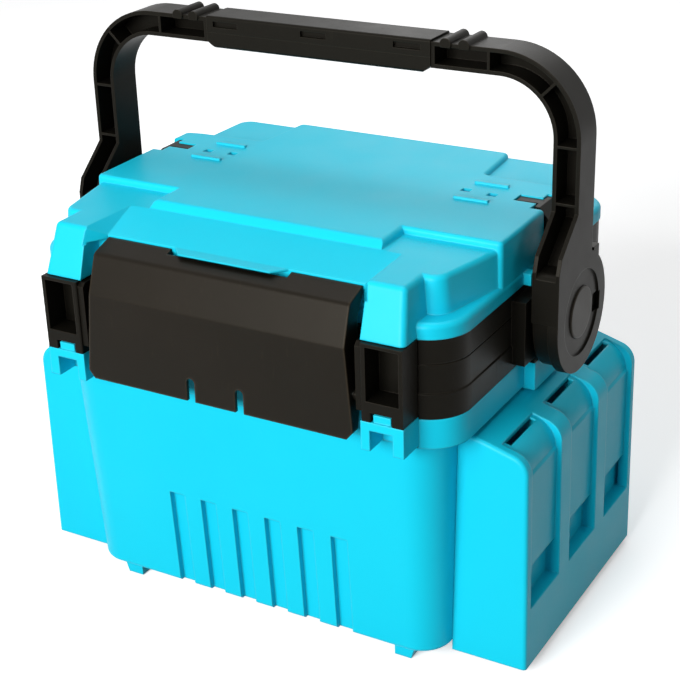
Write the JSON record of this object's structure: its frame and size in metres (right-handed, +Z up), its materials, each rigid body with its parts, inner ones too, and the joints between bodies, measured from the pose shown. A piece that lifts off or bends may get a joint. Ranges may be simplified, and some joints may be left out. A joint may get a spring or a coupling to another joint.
{
  "type": "tackle box",
  "caption": "Bucket-type tackle box with a hinged stepped lid, wide front latch, fold-over bail handle, side pockets with slots and windows, and rod-rest sockets.",
  "frame": {"origin": "on the floor under the middle of the tub", "axes": "+X to the right as seen from the latch, +Y to the hinge at the back, +Z up"},
  "size_m": [0.44, 0.3347, 0.4509],
  "materials": {
    "blue_shell": "satin moulded",
    "black_frame": "satin moulded",
    "black_gloss": "half gloss moulded",
    "clear_tray": "satin moulded",
    "seal": "matt",
    "steel": "bright zinc plated"
  },
  "bodies": {
    "base": {"tub": "blue_shell", "side_pocket_left": "blue_shell", "side_pocket_right": "blue_shell", "mid_frame": "black_frame", "rod_socket_left": "black_frame", "rod_socket_right": "black_frame", "handle_stop_left": "black_frame", "handle_stop_right": "black_frame", "latch_pin_left": "steel", "latch_pin_right": "steel", "hinge_pin_left": "steel", "hinge_pin_right": "steel", "hub_washer_left": "steel", "hub_washer_right": "steel", "hub_bolt_left": "steel", "hub_bolt_right": "steel", "frame_screws": "steel", "pocket_screws": "steel"},
    "lid": {"lid": "blue_shell", "lid_seal_front": "seal", "lid_seal_rear": "seal"},
    "latch": {"front_latch": "black_gloss"},
    "handle": {"handle_bail": "black_frame", "grip_upper": "black_frame", "grip_lower": "black_frame", "grip_screws": "steel", "hub_cap_left": "black_gloss", "hub_cap_right": "black_gloss"},
    "tray": {"lift_out_tray": "clear_tray"},
    "divider_left": {"tray_divider_left": "clear_tray"},
    "divider_right": {"tray_divider_right": "clear_tray"}
  },
  "joints": [
    {"name": "lid_hinge", "type": "hinge", "parent": "base", "child": "lid", "pos_m": [0, 0.156, 0.284], "axis": [-1, 0, 0], "range_deg": [0, 24]},
    {"name": "latch_pivot", "type": "hinge", "parent": "base", "child": "latch", "pos_m": [0, -0.163, 0.238], "axis": [1, 0, 0], "range_deg": [0, 30]},
    {"name": "handle_fold", "type": "hinge", "parent": "base", "child": "handle", "pos_m": [0, 0, 0.254], "axis": [-1, 0, 0], "range_deg": [-65, 105]},
    {"name": "tray_lift", "type": "slide", "parent": "base", "child": "tray", "axis": [0, 0, 1], "range_m": [0, 0.012]},
    {"name": "divider_left_lift", "type": "slide", "parent": "tray", "child": "divider_left", "axis": [0, 0, 1], "range_m": [0, 0.025]},
    {"name": "divider_right_lift", "type": "slide", "parent": "tray", "child": "divider_right", "axis": [0, 0, 1], "range_m": [0, 0.025]}
  ]
}
